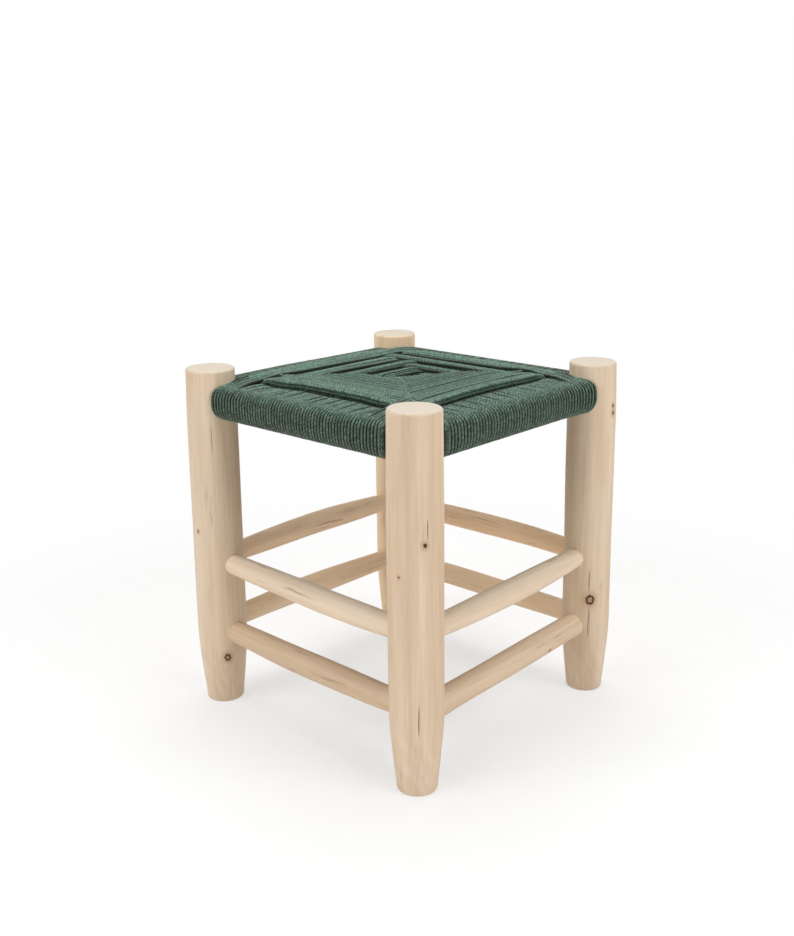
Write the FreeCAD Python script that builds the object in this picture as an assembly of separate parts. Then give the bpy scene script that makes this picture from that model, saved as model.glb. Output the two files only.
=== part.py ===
import FreeCAD, Part
import math
import os

os.makedirs("parts", exist_ok=True)

# A square stool of peeled round wood with a seat of wound and woven cord.
# Lengths are in millimetres. The origin is on the floor under the middle of the seat, Z is up.
# The front leg stands at low X and low Y, the left leg at high Y and the right leg at high X.

# Legs
leg_height = 350.0
leg_spacing_x = 267.5
leg_spacing_y = 268.0
front_leg_radius = 25.0
left_leg_radius = 25.2
right_leg_radius = 24.6
back_leg_radius = 23.4
taper_height = 80.0
foot_rounding = 1.8
top_rounding = 2.6
# The taper of the foot, as shares of the taper's height and of the leg's radius
taper_height_shares = (0.0, 0.11, 0.32, 0.49, 0.70, 1.0)
taper_radius_shares = (0.752, 0.78, 0.856, 0.905, 0.962, 1.0)

# Stretchers, two on each side
upper_stretcher_height = 150.0
lower_stretcher_height = 77.0
stretcher_end_radius = 10.0
stretcher_middle_radius = 12.0
stretcher_bow = 2.5
stretcher_sections = 7

# Each stretcher's own heights at its two ends, bow, end radius and middle radius,
# as shares of the sizes above. The first end is the one at the side's first leg.
stretcher_shares = {
    ("front_left", "upper"): (0.987, 1.016, -0.52, 1.03, 0.98),
    ("front_left", "lower"): (0.996, 1.018, -0.56, 1.09, 1.025),
    ("front_right", "upper"): (0.98, 1.003, -0.9, 0.96, 1.0),
    ("front_right", "lower"): (0.917, 0.992, 0.13, 1.22, 1.025),
    ("back_left", "upper"): (1.022, 1.015, 0.96, 0.935, 1.0),
    ("back_left", "lower"): (1.075, 1.051, 0.74, 1.04, 0.99),
    ("back_right", "upper"): (0.989, 0.981, 1.12, 0.97, 0.95),
    ("back_right", "lower"): (1.0, 0.996, 0.32, 1.08, 0.94),
}

# Seat rails, hidden by the cord. Their middle lies this far below the top of the legs.
rail_drop = 31.0
rail_radius = 13.8
rail_tenon_radius = 10.0
shoulder_clearance = 0.3

# Joints between the round wood and the legs
joint_clearance = 0.1
mortise_wall = 1.0
cut_overrun = 5.0

# Cord
cord_thickness = 3.2
cord_gap = 0.3
seat_crown = 2.2
climb_run = 6.0
# Edges of the four woven rings, as shares of the half width of the winding
ring_edge_shares = (1.0, 0.803, 0.532, 0.266, 0.0)
# The cords that lie on top where two sides of a ring meet, from the outer ring to the inner one
corner_order = {
    "front": ("x", "x", "x", "x"),
    "left": ("x", "x", "x", "x"),
    "right": ("y", "y", "y", "x"),
    "back": ("y", "y", "x", "x"),
}

leg_radius = {
    "front": front_leg_radius,
    "left": left_leg_radius,
    "right": right_leg_radius,
    "back": back_leg_radius,
}
corner_signs = {"front": (-1, -1), "left": (-1, 1), "right": (1, -1), "back": (1, 1)}
corner_at = {signs: corner for corner, signs in corner_signs.items()}
side_legs = {
    "front_left": ("front", "left"),
    "front_right": ("front", "right"),
    "back_left": ("left", "back"),
    "back_right": ("right", "back"),
}
side_along = {"front_left": "y", "front_right": "x", "back_left": "x", "back_right": "y"}
tier_height = {"upper": upper_stretcher_height, "lower": lower_stretcher_height}

rail_height = leg_height - rail_drop

X_AXIS = FreeCAD.Vector(1, 0, 0)
Y_AXIS = FreeCAD.Vector(0, 1, 0)
Z_AXIS = FreeCAD.Vector(0, 0, 1)

# A mortise stops short of the hole that comes in from the neighbouring side.
widest_end = stretcher_end_radius * max(shares[3] for shares in stretcher_shares.values())
mortise_floor = max(widest_end, rail_tenon_radius) + joint_clearance + mortise_wall


def export(shape, node):
    """Checks one node and writes its file."""
    if not shape.isValid():
        raise ValueError(node + " is not a valid shape")
    print(node, len(shape.Solids), round(shape.Volume, 1))
    shape.exportStep("parts/" + node + ".step")


def side_span(side):
    """Distance between the axes of the two legs of a side."""
    return leg_spacing_x if side_along[side] == "x" else leg_spacing_y


def side_placement(side):
    """Carries a piece drawn along X from the first leg's axis to its side."""
    sign_x, sign_y = corner_signs[side_legs[side][0]]
    start = FreeCAD.Vector(sign_x * leg_spacing_x / 2, sign_y * leg_spacing_y / 2, 0)
    turn = FreeCAD.Rotation(X_AXIS, X_AXIS if side_along[side] == "x" else Y_AXIS)
    return FreeCAD.Placement(start, turn)


def leg_blank(radius):
    """One leg without its mortises: a round pole with a tapered foot."""
    taper = []
    for height_share, radius_share in zip(taper_height_shares, taper_radius_shares):
        height = foot_rounding + (taper_height - foot_rounding) * height_share
        taper.append(FreeCAD.Vector(radius * radius_share, 0, height))
    foot = taper[0]
    slope = FreeCAD.Vector(taper[1] - taper[0]).normalize()
    curve = Part.BSplineCurve()
    curve.interpolate(Points=taper, InitialTangent=slope, FinalTangent=Z_AXIS)
    corner_turn = math.sin(math.pi / 4)
    foot_inset = foot_rounding * (1 - corner_turn)
    edge_start = FreeCAD.Vector(foot.x - foot_rounding, 0, 0)
    edge_middle = FreeCAD.Vector(foot.x - foot_inset, 0, foot_inset)
    top_inset = top_rounding * (1 - corner_turn)
    shoulder = FreeCAD.Vector(radius, 0, leg_height - top_rounding)
    crown_middle = FreeCAD.Vector(radius - top_inset, 0, leg_height - top_inset)
    crown = FreeCAD.Vector(radius - top_rounding, 0, leg_height)
    floor_centre = FreeCAD.Vector(0, 0, 0)
    top_centre = FreeCAD.Vector(0, 0, leg_height)
    edges = [
        Part.makeLine(floor_centre, edge_start),
        Part.Arc(edge_start, edge_middle, foot).toShape(),
        curve.toShape(),
        Part.makeLine(taper[-1], shoulder),
        Part.Arc(shoulder, crown_middle, crown).toShape(),
        Part.makeLine(crown, top_centre),
        Part.makeLine(top_centre, floor_centre),
    ]
    return Part.Face(Part.Wire(edges)).revolve(floor_centre, Z_AXIS, 360)


def stretcher_sizes(side, tier):
    """Heights at both ends, bow, end radius and middle radius of one stretcher."""
    first, second, bow, end, middle = stretcher_shares[(side, tier)]
    height = tier_height[tier]
    return (
        height * first,
        height * second,
        stretcher_bow * bow,
        stretcher_end_radius * end,
        stretcher_middle_radius * middle,
    )


def stretcher(side, tier):
    """One stretcher: a bowed barrel between the legs with a round end in each mortise."""
    first_height, second_height, bow, end_radius, middle_radius = stretcher_sizes(side, tier)
    first_leg, second_leg = side_legs[side]
    span = side_span(side)
    start = leg_radius[first_leg]
    finish = span - leg_radius[second_leg]
    sections = []
    for index in range(stretcher_sections):
        share = index / (stretcher_sections - 1)
        swell = 4 * share * (1 - share)
        height = first_height + (second_height - first_height) * share + bow * swell
        radius = end_radius + (middle_radius - end_radius) * swell
        centre = FreeCAD.Vector(start + (finish - start) * share, 0, height)
        sections.append(Part.Wire(Part.makeCircle(radius, centre, X_AXIS)))
    barrel = Part.makeLoft(sections, True, False)
    tip = mortise_floor + joint_clearance
    first_end = Part.makeCylinder(end_radius, start - tip, FreeCAD.Vector(tip, 0, first_height), X_AXIS)
    second_end = Part.makeCylinder(
        end_radius, span - tip - finish, FreeCAD.Vector(finish, 0, second_height), X_AXIS
    )
    solid = barrel.fuse([first_end, second_end])
    solid.Placement = side_placement(side)
    return solid


def rail(side):
    """One seat rail: round wood between the legs with a thinner tenon at each end."""
    first_leg, second_leg = side_legs[side]
    span = side_span(side)
    start = leg_radius[first_leg] + shoulder_clearance
    finish = span - leg_radius[second_leg] - shoulder_clearance
    tip = mortise_floor + joint_clearance
    body = Part.makeCylinder(rail_radius, finish - start, FreeCAD.Vector(start, 0, rail_height), X_AXIS)
    tenon = Part.makeCylinder(rail_tenon_radius, span - 2 * tip, FreeCAD.Vector(tip, 0, rail_height), X_AXIS)
    solid = body.fuse(tenon).removeSplitter()
    solid.Placement = side_placement(side)
    return solid


def mortises(side):
    """The holes that one side's stretchers and rail need, in both of its legs."""
    span = side_span(side)
    ends = []
    for tier in tier_height:
        first_height, second_height, _, end_radius, _ = stretcher_sizes(side, tier)
        ends.append((first_height, second_height, end_radius))
    ends.append((rail_height, rail_height, rail_tenon_radius))
    holes = []
    for first_height, second_height, end_radius in ends:
        radius = end_radius + joint_clearance
        for leg, height, at, direction in (
            (side_legs[side][0], first_height, mortise_floor, X_AXIS),
            (side_legs[side][1], second_height, span - mortise_floor, -X_AXIS),
        ):
            depth = leg_radius[leg] - mortise_floor + cut_overrun
            hole = Part.makeCylinder(radius, depth, FreeCAD.Vector(at, 0, height), direction)
            hole.Placement = side_placement(side)
            holes.append(hole)
    return holes


# Weave
# A band is all the turns of one ring on one side. Bands named x run along X round the two rails
# that lie along Y, and bands named y run the other way. Both reach as far as the legs let them.
widest_leg = max(leg_radius.values())
half_width = {
    "x": leg_spacing_x / 2 - widest_leg - cord_gap,
    "y": leg_spacing_y / 2 - widest_leg - cord_gap,
}
rail_offset = {"x": leg_spacing_x / 2, "y": leg_spacing_y / 2}
other = {"x": "y", "y": "x"}
rings = len(ring_edge_shares) - 1
layer_step = cord_thickness + cord_gap
wrap_radius = rail_radius + cord_gap + cord_thickness / 2
# Middle of the cord where it is highest: one layer above the crowned lower layer
raised_level = rail_height + wrap_radius + seat_crown + layer_step
station_shares = [-share for share in ring_edge_shares[:-1]] + list(reversed(ring_edge_shares))


def station(sign, edge):
    """Place in a list of stations of a ring's edge, counted from the outermost as 0."""
    return edge if sign < 0 else 2 * rings - edge


def over_name(sign_x, sign_y, ring_x, ring_y):
    """Says which way the upper cords run where y band ring_x crosses x band ring_y."""
    if ring_x == ring_y:
        return corner_order[corner_at[(sign_x, sign_y)]][ring_x]
    return "x" if ring_y < ring_x else "y"


def over_reach(run, sign, ring, end):
    """Half length of a band's raised run towards one end, as a share of the half width."""
    signs = (end, sign) if run == "x" else (sign, end)
    edge = ring if corner_order[corner_at[signs]][ring] == run else ring + 1
    return ring_edge_shares[edge]


def wished_levels(ring, run, sign):
    """Height of a band's outer and inner edge where nothing presses it down."""
    outer = raised_level if ring == 0 else raised_level - layer_step
    last_band = ring == rings - 1 and (run, sign) == ("x", -1)
    inner = raised_level - layer_step if last_band else raised_level
    return outer, inner


def settled_levels():
    """Height of every band's outer and inner edge at each station.

    Each band starts at the height that it would like, and is pressed down under the bands
    that cross above it until all crossings have room for the cord.
    """
    levels = {}
    for run in ("x", "y"):
        for sign in (-1, 1):
            for ring in range(rings):
                outer, inner = wished_levels(ring, run, sign)
                levels[(run, sign, ring)] = [[outer] * len(station_shares), [inner] * len(station_shares)]
    crossings = []
    for sign_x in (-1, 1):
        for sign_y in (-1, 1):
            for ring_x in range(rings):
                for ring_y in range(rings):
                    for edge_x in (0, 1):
                        for edge_y in (0, 1):
                            in_x = (("x", sign_y, ring_y), edge_y, station(sign_x, ring_x + edge_x))
                            in_y = (("y", sign_x, ring_x), edge_x, station(sign_y, ring_y + edge_y))
                            upper_is_x = over_name(sign_x, sign_y, ring_x, ring_y) == "x"
                            crossings.append((in_x, in_y) if upper_is_x else (in_y, in_x))
    pressed = True
    while pressed:
        pressed = False
        for (over, over_edge, over_at), (under, under_edge, under_at) in crossings:
            room = levels[over][over_edge][over_at] - layer_step
            if levels[under][under_edge][under_at] > room:
                levels[under][under_edge][under_at] = room
                pressed = True
    return levels


def top_run(band, edge, levels):
    """Points along and up of a band's edge, from one rail to the other, at the cord's middle."""
    run, sign, ring = band
    reach = half_width[run]
    top = wished_levels(ring, run, sign)[edge]
    points = []
    for index, share in enumerate(station_shares):
        points.append((reach * share, levels[band][edge][index]))
    first = -reach * over_reach(run, sign, ring, -1)
    last = reach * over_reach(run, sign, ring, 1)
    if last - first > 2 * climb_run:
        raised = [(first + climb_run, top), (last - climb_run, top)]
        outside = [point for point in points if point[0] <= first or point[0] >= last]
        points = sorted(outside + raised)
    rail_top = rail_height + wrap_radius
    return [(-rail_offset[run], rail_top)] + points + [(rail_offset[run], rail_top)]


def loop_wire(run, points, across, offset):
    """Closed outline of a loop round both rails, offset from the cord's middle."""
    def place(along, height):
        if run == "x":
            return FreeCAD.Vector(along, across, height)
        return FreeCAD.Vector(across, along, height)

    radius = wrap_radius + offset
    turn = math.sin(math.pi / 4)
    end = rail_offset[run]
    upper = [place(along, height + offset) for along, height in points]
    lower = [place(along, 2 * rail_height - height - offset) for along, height in reversed(points)]
    edges = []
    for start, finish in zip(upper, upper[1:]):
        edges.append(Part.makeLine(start, finish))
    right = place(end + radius, rail_height)
    right_high = place(end + radius * turn, rail_height + radius * turn)
    right_low = place(end + radius * turn, rail_height - radius * turn)
    edges.append(Part.Arc(upper[-1], right_high, right).toShape())
    edges.append(Part.Arc(right, right_low, lower[0]).toShape())
    for start, finish in zip(lower, lower[1:]):
        edges.append(Part.makeLine(start, finish))
    left = place(-end - radius, rail_height)
    left_low = place(-end - radius * turn, rail_height - radius * turn)
    left_high = place(-end - radius * turn, rail_height + radius * turn)
    edges.append(Part.Arc(lower[-1], left_low, left).toShape())
    edges.append(Part.Arc(left, left_high, upper[0]).toShape())
    return Part.Wire(edges)


def flare(run, sign, end):
    """The turns that spread from the outer ring over the round side of one leg."""
    signs = (end, sign) if run == "x" else (sign, end)
    leg_centre = FreeCAD.Vector(signs[0] * leg_spacing_x / 2, signs[1] * leg_spacing_y / 2, 0)
    across = FreeCAD.Vector(Y_AXIS if run == "x" else X_AXIS) * sign
    outward = FreeCAD.Vector(X_AXIS if run == "x" else Y_AXIS) * end
    length = rail_offset[other[run]] - half_width[other[run]] + cord_gap / 2
    middle = leg_centre - across * length + Z_AXIS * rail_height
    outer_radius = wrap_radius + cord_thickness / 2
    turns = Part.makeCylinder(outer_radius, length, middle, across)
    turns = turns.cut(Part.makeCylinder(wrap_radius - cord_thickness / 2, length, middle, across))
    box_size = 2 * (outer_radius + length)
    inner_half = Part.makeBox(box_size, box_size, box_size)
    inner_half.translate(FreeCAD.Vector(-box_size / 2, -box_size / 2, -box_size / 2))
    inner_half.translate(middle - outward * (box_size / 2))
    leg_room = Part.makeCylinder(leg_radius[corner_at[signs]] + cord_gap, leg_height, leg_centre, Z_AXIS)
    return turns.cut([inner_half, leg_room])


def cord_band(band, levels):
    """One band of cord: a closed loop round two rails, woven with the bands that cross it."""
    run, sign, ring = band
    reach = half_width[other[run]]
    outer_side = sign * (reach * ring_edge_shares[ring] - cord_gap / 2)
    inner_side = sign * (reach * ring_edge_shares[ring + 1] + cord_gap / 2)
    shells = []
    for offset in (cord_thickness / 2, -cord_thickness / 2):
        wires = []
        for edge, across in ((0, outer_side), (1, inner_side)):
            wires.append(loop_wire(run, top_run(band, edge, levels), across, offset))
        shells.append(Part.makeLoft(wires, True, True))
    solid = shells[0].cut(shells[1])
    if ring == 0:
        solid = solid.fuse([flare(run, sign, -1), flare(run, sign, 1)])
    return solid


legs = {}
for corner, (sign_x, sign_y) in corner_signs.items():
    blank = leg_blank(leg_radius[corner])
    blank.translate(FreeCAD.Vector(sign_x * leg_spacing_x / 2, sign_y * leg_spacing_y / 2, 0))
    legs[corner] = blank
for side, (first_leg, second_leg) in side_legs.items():
    holes = mortises(side)
    for corner in (first_leg, second_leg):
        legs[corner] = legs[corner].cut(holes)
for corner, solid in legs.items():
    export(solid, "leg_" + corner)

for side in side_legs:
    export(rail(side), "seat_rail_" + side)
    for tier in tier_height:
        export(stretcher(side, tier), "stretcher_" + side + "_" + tier)

levels = settled_levels()
band_side = {("x", -1): "front_right", ("x", 1): "back_left", ("y", -1): "front_left", ("y", 1): "back_right"}
for band in levels:
    run, sign, ring = band
    export(cord_band(band, levels), "cord_band_" + band_side[(run, sign)] + "_" + str(ring + 1))
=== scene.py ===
"""Looks of a square stool of peeled round wood with a seat of wound and woven green cord.

Lengths are millimetres, as in the CAD source, unless a comment says metres. Every mesh is written in
metres. The front leg stands at low X and low Y, the left leg at high Y and the right leg at high X. A
run is the axis that a cord or a stretcher follows. Places and distances across it are on the other axis.
"""
import math

import bpy
import numpy as np
from mathutils import Matrix, Vector


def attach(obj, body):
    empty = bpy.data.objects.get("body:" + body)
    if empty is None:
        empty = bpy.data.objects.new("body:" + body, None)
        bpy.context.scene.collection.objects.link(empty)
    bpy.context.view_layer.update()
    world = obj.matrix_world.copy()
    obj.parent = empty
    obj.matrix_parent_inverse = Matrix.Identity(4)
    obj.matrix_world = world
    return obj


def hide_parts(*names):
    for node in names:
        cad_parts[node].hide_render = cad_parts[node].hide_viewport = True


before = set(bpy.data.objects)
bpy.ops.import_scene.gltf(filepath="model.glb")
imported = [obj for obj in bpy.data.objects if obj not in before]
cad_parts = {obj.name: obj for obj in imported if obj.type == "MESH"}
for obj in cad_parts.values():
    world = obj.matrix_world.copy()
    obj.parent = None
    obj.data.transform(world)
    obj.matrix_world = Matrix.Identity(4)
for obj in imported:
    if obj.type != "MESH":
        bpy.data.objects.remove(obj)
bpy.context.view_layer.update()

MM = 0.001
TAU = 2 * math.pi

# Sizes shared with the CAD
LEG_HEIGHT = 350.0
SPAN = {"x": 267.5, "y": 268.0}
LEG_RADIUS = {"front": 25.0, "left": 25.2, "right": 24.6, "back": 23.4}
CORNER = {"front": (-1, -1), "left": (-1, 1), "right": (1, -1), "back": (1, 1)}
TAPER_HEIGHT = 80.0
# Taper of a foot, as (share of the taper's height, share of the leg's radius)
TAPER = ((0.0, 0.752), (0.11, 0.78), (0.32, 0.856), (0.49, 0.905), (0.70, 0.962), (1.0, 1.0))
FOOT_ROUND, TOP_ROUND = 1.8, 2.6
STRETCHER_Z = {"upper": 150.0, "lower": 77.0}
STRETCHER_END, STRETCHER_MIDDLE, STRETCHER_BOW = 10.0, 12.0, 2.5
# Each side's first leg, its second leg and its run
SIDES = {
    "front_left": ("front", "left", "y"),
    "front_right": ("front", "right", "x"),
    "back_left": ("left", "back", "x"),
    "back_right": ("right", "back", "y"),
}
# Shares of a stretcher's sizes: height at its two ends, bow, end radius and middle radius
STRETCHERS = {
    ("front_left", "upper"): (0.987, 1.016, -0.52, 1.03, 0.98),
    ("front_left", "lower"): (0.996, 1.018, -0.56, 1.09, 1.025),
    ("front_right", "upper"): (0.98, 1.003, -0.9, 0.96, 1.0),
    ("front_right", "lower"): (0.917, 0.992, 0.13, 1.22, 1.025),
    ("back_left", "upper"): (1.022, 1.015, 0.96, 0.935, 1.0),
    ("back_left", "lower"): (1.075, 1.051, 0.74, 1.04, 0.99),
    ("back_right", "upper"): (0.989, 0.981, 1.12, 0.97, 0.95),
    ("back_right", "lower"): (1.0, 0.996, 0.32, 1.08, 0.94),
}
RAIL_Z, RAIL_RADIUS = 319.0, 13.8
# Edges of the four woven rings on each axis, from the seat's middle
RING_EDGES = {"x": (108.25, 86.93, 57.59, 28.79, 0.0), "y": (108.5, 87.13, 57.72, 28.86, 0.0)}


# Shader helpers
class Tree:
    """Short names for the nodes that the materials use."""

    def __init__(self, name):
        self.material = bpy.data.materials.new(name)
        self.material.use_nodes = True
        self.nodes = self.material.node_tree.nodes
        self.links = self.material.node_tree.links
        self.nodes.clear()

    def new(self, kind, **settings):
        node = self.nodes.new("ShaderNode" + kind)
        for key, value in settings.items():
            setattr(node, key, value)
        return node

    def put(self, socket, value):
        if isinstance(value, bpy.types.NodeSocket):
            self.links.new(value, socket)
        elif value is not None:
            socket.default_value = value

    def attribute(self, name, output="Fac"):
        return self.new("Attribute", attribute_name=name).outputs[output]

    def maths(self, operation, a, b=None):
        node = self.new("Math", operation=operation)
        self.put(node.inputs[0], a)
        self.put(node.inputs[1], b)
        return node.outputs[0]

    def plus(self, a, b):
        return self.maths("ADD", a, b)

    def minus(self, a, b):
        return self.maths("SUBTRACT", a, b)

    def times(self, a, b):
        return self.maths("MULTIPLY", a, b)

    def vector(self, operation, a, b=None, scale=None):
        node = self.new("VectorMath", operation=operation)
        self.put(node.inputs[0], a)
        self.put(node.inputs[1], b)
        if scale is not None:
            self.put(node.inputs["Scale"], scale)
        return node.outputs["Value" if operation in ("LENGTH", "DOT_PRODUCT") else "Vector"]

    def combine(self, x, y, z):
        node = self.new("CombineXYZ")
        for socket, value in zip(node.inputs, (x, y, z)):
            self.put(socket, value)
        return node.outputs[0]

    def split(self, vector):
        node = self.new("SeparateXYZ")
        self.put(node.inputs[0], vector)
        return node.outputs

    def noise(self, place, scale, detail=3.0, rough=0.5, distortion=0.0):
        """Noise whose scale is one number, or one for each axis."""
        if isinstance(scale, tuple):
            place, scale = self.vector("MULTIPLY", place, scale), 1.0
        node = self.new("TexNoise")
        self.put(node.inputs["Vector"], place)
        node.inputs["Scale"].default_value = scale
        node.inputs["Detail"].default_value = detail
        node.inputs["Roughness"].default_value = rough
        node.inputs["Distortion"].default_value = distortion
        return node.outputs["Fac"]

    def span(self, value, low, high, to_low=0.0, to_high=1.0, smooth=True):
        node = self.new("MapRange", interpolation_type="SMOOTHSTEP" if smooth else "LINEAR")
        node.clamp = True
        for index, item in enumerate((value, low, high, to_low, to_high)):
            self.put(node.inputs[index], item)
        return node.outputs[0]

    def mix(self, factor, a, b, blend="MIX"):
        node = self.new("Mix", data_type="RGBA", blend_type=blend)
        self.put(node.inputs["Factor"], factor)
        self.put(node.inputs[6], a)
        self.put(node.inputs[7], b)
        return node.outputs[2]

    def ramp(self, factor, stops):
        node = self.new("ValToRGB")
        self.put(node.inputs[0], factor)
        elements = node.color_ramp.elements
        while len(elements) < len(stops):
            elements.new(0.5)
        for element, (place, colour) in zip(elements, stops):
            element.position = place
            element.color = colour
        return node.outputs[0]

    def surface(self, colour, roughness, height, bump, distance, specular, sheen=0.0):
        """The finished material. The bump's distance is in metres."""
        shader = self.new("BsdfPrincipled")
        self.put(shader.inputs["Base Color"], colour)
        self.put(shader.inputs["Roughness"], roughness)
        shader.inputs["Specular IOR Level"].default_value = specular
        shader.inputs["Sheen Weight"].default_value = sheen
        node = self.new("Bump")
        node.inputs["Strength"].default_value = bump
        node.inputs["Distance"].default_value = distance
        self.put(node.inputs["Height"], height)
        self.links.new(node.outputs[0], shader.inputs["Normal"])
        output = self.new("OutputMaterial")
        self.links.new(shader.outputs[0], output.inputs[0])
        return self.material


def linear(red, green, blue):
    """A colour given as it looks on screen, from 0 to 255, as the shader's linear one."""
    def one(value):
        value /= 255
        return value / 12.92 if value <= 0.04045 else ((value + 0.055) / 1.055) ** 2.4
    return (one(red), one(green), one(blue), 1.0)


# Wood
# Noise in the wood: scale across and along the grain, in features per metre, detail, roughness, distortion
WOOD_NOISE = {
    "broad": (60.0, 4.0, 3.0, 0.55, 0.0),
    "streak": (330.0, 9.0, 4.0, 0.6, 0.0),
    "fibre": (1500.0, 42.0, 3.0, 0.6, 0.0),
    "fleck": (900.0, 120.0, 2.0, 0.5, 0.0),
    "bent": (22.0, 3.0, 2.0, 0.5, 0.0),
    "soil": (120.0, 11.0, 3.0, 0.7, 0.4),
}
WOOD_BASE = ((0.22, linear(216, 188, 157)), (0.48, linear(227, 202, 172)), (0.75, linear(236, 215, 189)))
# What shows over the base: the noise values where it starts and is full, its greatest share, its colour
WOOD_LAYERS = {
    "streak": (0.40, 0.70, 0.28, linear(203, 172, 138)),
    "fibre": (0.5, 0.75, 0.16, linear(188, 154, 120)),
    "fleck": (0.68, 0.80, 0.25, linear(172, 134, 100)),
}
SOIL, SOIL_COLOUR = (0.60, 0.74), linear(150, 120, 92)
# Year rings, in metres: their spacing, the pith's place and how far they wander
RING_STEP, PITH, RING_WANDER = 0.0021, (-0.0021, 0.0013), 0.006
RING_SHARE, RING_COLOUR = 0.08, linear(190, 154, 118)
# Sawn ends: how far from the end, in metres, they start and are full, their colours and their rings
SAWN = (0.0016, 0.0002)
SAWN_COLOURS = (linear(213, 202, 186), linear(204, 191, 173))
SAWN_RING_SHARE, SAWN_RING_COLOUR = 0.09, linear(186, 166, 142)
KNOT_HALO, KNOT_CORE, KNOT_RIM = linear(176, 128, 88), linear(150, 98, 62), linear(58, 34, 22)
CRACK_COLOUR = linear(88, 62, 44)


def bent_round_knots(t, grain, knots):
    """Grain space whose fibres flow round the knots."""
    place = grain
    for centre, radius, _ in knots:
        away = t.vector("SUBTRACT", grain, centre)
        flat = t.vector("MULTIPLY", away, (1.0, 1.0, 0.45))
        push = t.span(t.vector("LENGTH", flat), radius * 0.6, radius * 3.2, 0.75, 0.0)
        moved = t.vector("SCALE", t.vector("MULTIPLY", away, (-1.0, -1.0, -0.2)), scale=push)
        place = t.vector("ADD", place, moved)
    return place


def year_rings(t, grain, bent):
    x, y, _ = t.split(grain)
    pith = t.combine(t.minus(x, PITH[0]), t.minus(y, PITH[1]), 0.0)
    distance = t.plus(t.vector("LENGTH", pith), t.times(bent, RING_WANDER))
    return t.span(t.maths("SINE", t.times(distance, TAU / RING_STEP)), -1.0, 1.0)


def paint_knot(t, grain, knot, colour):
    """Adds a knot's halo, core and rim. A solid knot is dark right across."""
    centre, radius, kind = knot
    away = t.vector("MULTIPLY", t.vector("SUBTRACT", grain, centre), (1.0, 1.0, 0.85))
    wobble = t.minus(t.noise(grain, (500.0, 500.0, 500.0), 2.0), 0.5)
    far = t.plus(t.vector("LENGTH", away), t.times(wobble, radius * 0.55))
    colour = t.mix(t.span(far, radius * 0.9, radius * 2.6, 0.42, 0.0), colour, KNOT_HALO)
    if kind == "ring":
        off_rim = t.maths("ABSOLUTE", t.minus(far, radius * 0.78))
        rim = t.span(off_rim, radius * 0.10, radius * 0.34, 0.95, 0.0)
        colour = t.mix(t.span(far, radius * 0.5, radius * 0.75, 0.55, 0.0), colour, KNOT_CORE)
    else:
        rim = t.span(far, radius * 0.5, radius * 0.95, 0.97, 0.0)
    return t.mix(rim, colour, KNOT_RIM), rim


def paint_crack(t, grain, crack, colour):
    """Adds a drying crack that wanders a little and thins out at both ends."""
    centre, across, outward, half_length, half_width = crack
    away = t.vector("SUBTRACT", grain, centre)
    z = t.split(away)[2]
    wander = t.minus(t.noise(t.combine(0.0, 0.0, t.times(z, 160.0)), 1.0, 2.0), 0.5)
    side = t.plus(t.vector("DOT_PRODUCT", away, across), t.times(wander, 0.0012))
    off_middle = t.maths("ABSOLUTE", z)
    thin = t.span(off_middle, half_length * 0.35, half_length, half_width, half_width * 0.05)
    line = t.span(t.maths("DIVIDE", t.maths("ABSOLUTE", side), thin), 0.35, 1.0, 0.92, 0.0)
    line = t.times(line, t.span(off_middle, half_length * 0.92, half_length, 1.0, 0.0))
    line = t.times(line, t.span(t.vector("DOT_PRODUCT", away, outward), -0.008, -0.004))
    return t.mix(line, colour, CRACK_COLOUR), line


def wood_material(name, seed, knots=(), cracks=(), stain=0.35, ends=None, tint=(1.0, 1.0, 1.0)):
    """Pale peeled wood. Marks are placed in the piece's own grain space, in metres."""
    t = Tree(name)
    grain = t.attribute("grain", "Vector")
    place = bent_round_knots(t, grain, knots)
    place = t.vector("ADD", place, (seed * 1.37 % 5, seed * 2.11 % 5, seed * 0.73 % 5))
    noise = {}
    for kind, (across, along, detail, rough, distortion) in WOOD_NOISE.items():
        noise[kind] = t.noise(place, (across, across, along), detail, rough, distortion)
    rings = year_rings(t, grain, noise["bent"])
    colour = t.ramp(noise["broad"], WOOD_BASE)
    for kind, (start, full, share, shade) in WOOD_LAYERS.items():
        colour = t.mix(t.span(noise[kind], start, full, 0.0, share), colour, shade)
    colour = t.mix(t.times(rings, RING_SHARE), colour, RING_COLOUR)
    colour = t.mix(t.span(noise["soil"], *SOIL, 0.0, stain), colour, SOIL_COLOUR)
    # the tint is the piece's own tint, with painted light that makes a whole piece paler or darker
    colour = t.vector("MULTIPLY", colour, tint)
    height = t.plus(t.times(noise["fibre"], 0.3), t.times(noise["streak"], 0.3))
    marks = []
    for paint, items in ((paint_knot, knots), (paint_crack, cracks)):
        for item in items:
            colour, mark = paint(t, grain, item, colour)
            marks.append(t.maths("MAXIMUM", marks[-1], mark) if marks else mark)
    if marks:
        height = t.minus(height, t.times(marks[-1], 0.8))
    if ends is not None:
        sawn = t.span(t.split(grain)[2], ends - SAWN[0], ends - SAWN[1])
        pores = t.span(t.noise(grain, (900.0, 900.0, 900.0), 3.0, 0.6), 0.35, 0.7)
        pale = t.mix(t.times(rings, SAWN_RING_SHARE), t.mix(pores, *SAWN_COLOURS), SAWN_RING_COLOUR)
        colour = t.mix(sawn, colour, pale)
    return t.surface(colour, t.span(noise["streak"], 0.3, 0.7, 0.56, 0.70), height, 0.3, 0.0005, 0.3)


def waves(rng, count, reach):
    """A few slow waves round and along a piece, as (amplitude, turns, rate, phase)."""
    rows = []
    for _ in range(count):
        rows.append((rng.uniform(0.4, 1.0) * reach, rng.integers(1, 5), rng.uniform(0.012, 0.05),
                     rng.uniform(0, TAU)))
    return rows


def wave_sum(rows, angle, along):
    total = 0.0
    for size, turns, rate, phase in rows:
        total = total + size * np.sin(turns * angle + rate * along + phase)
    return total


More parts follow.
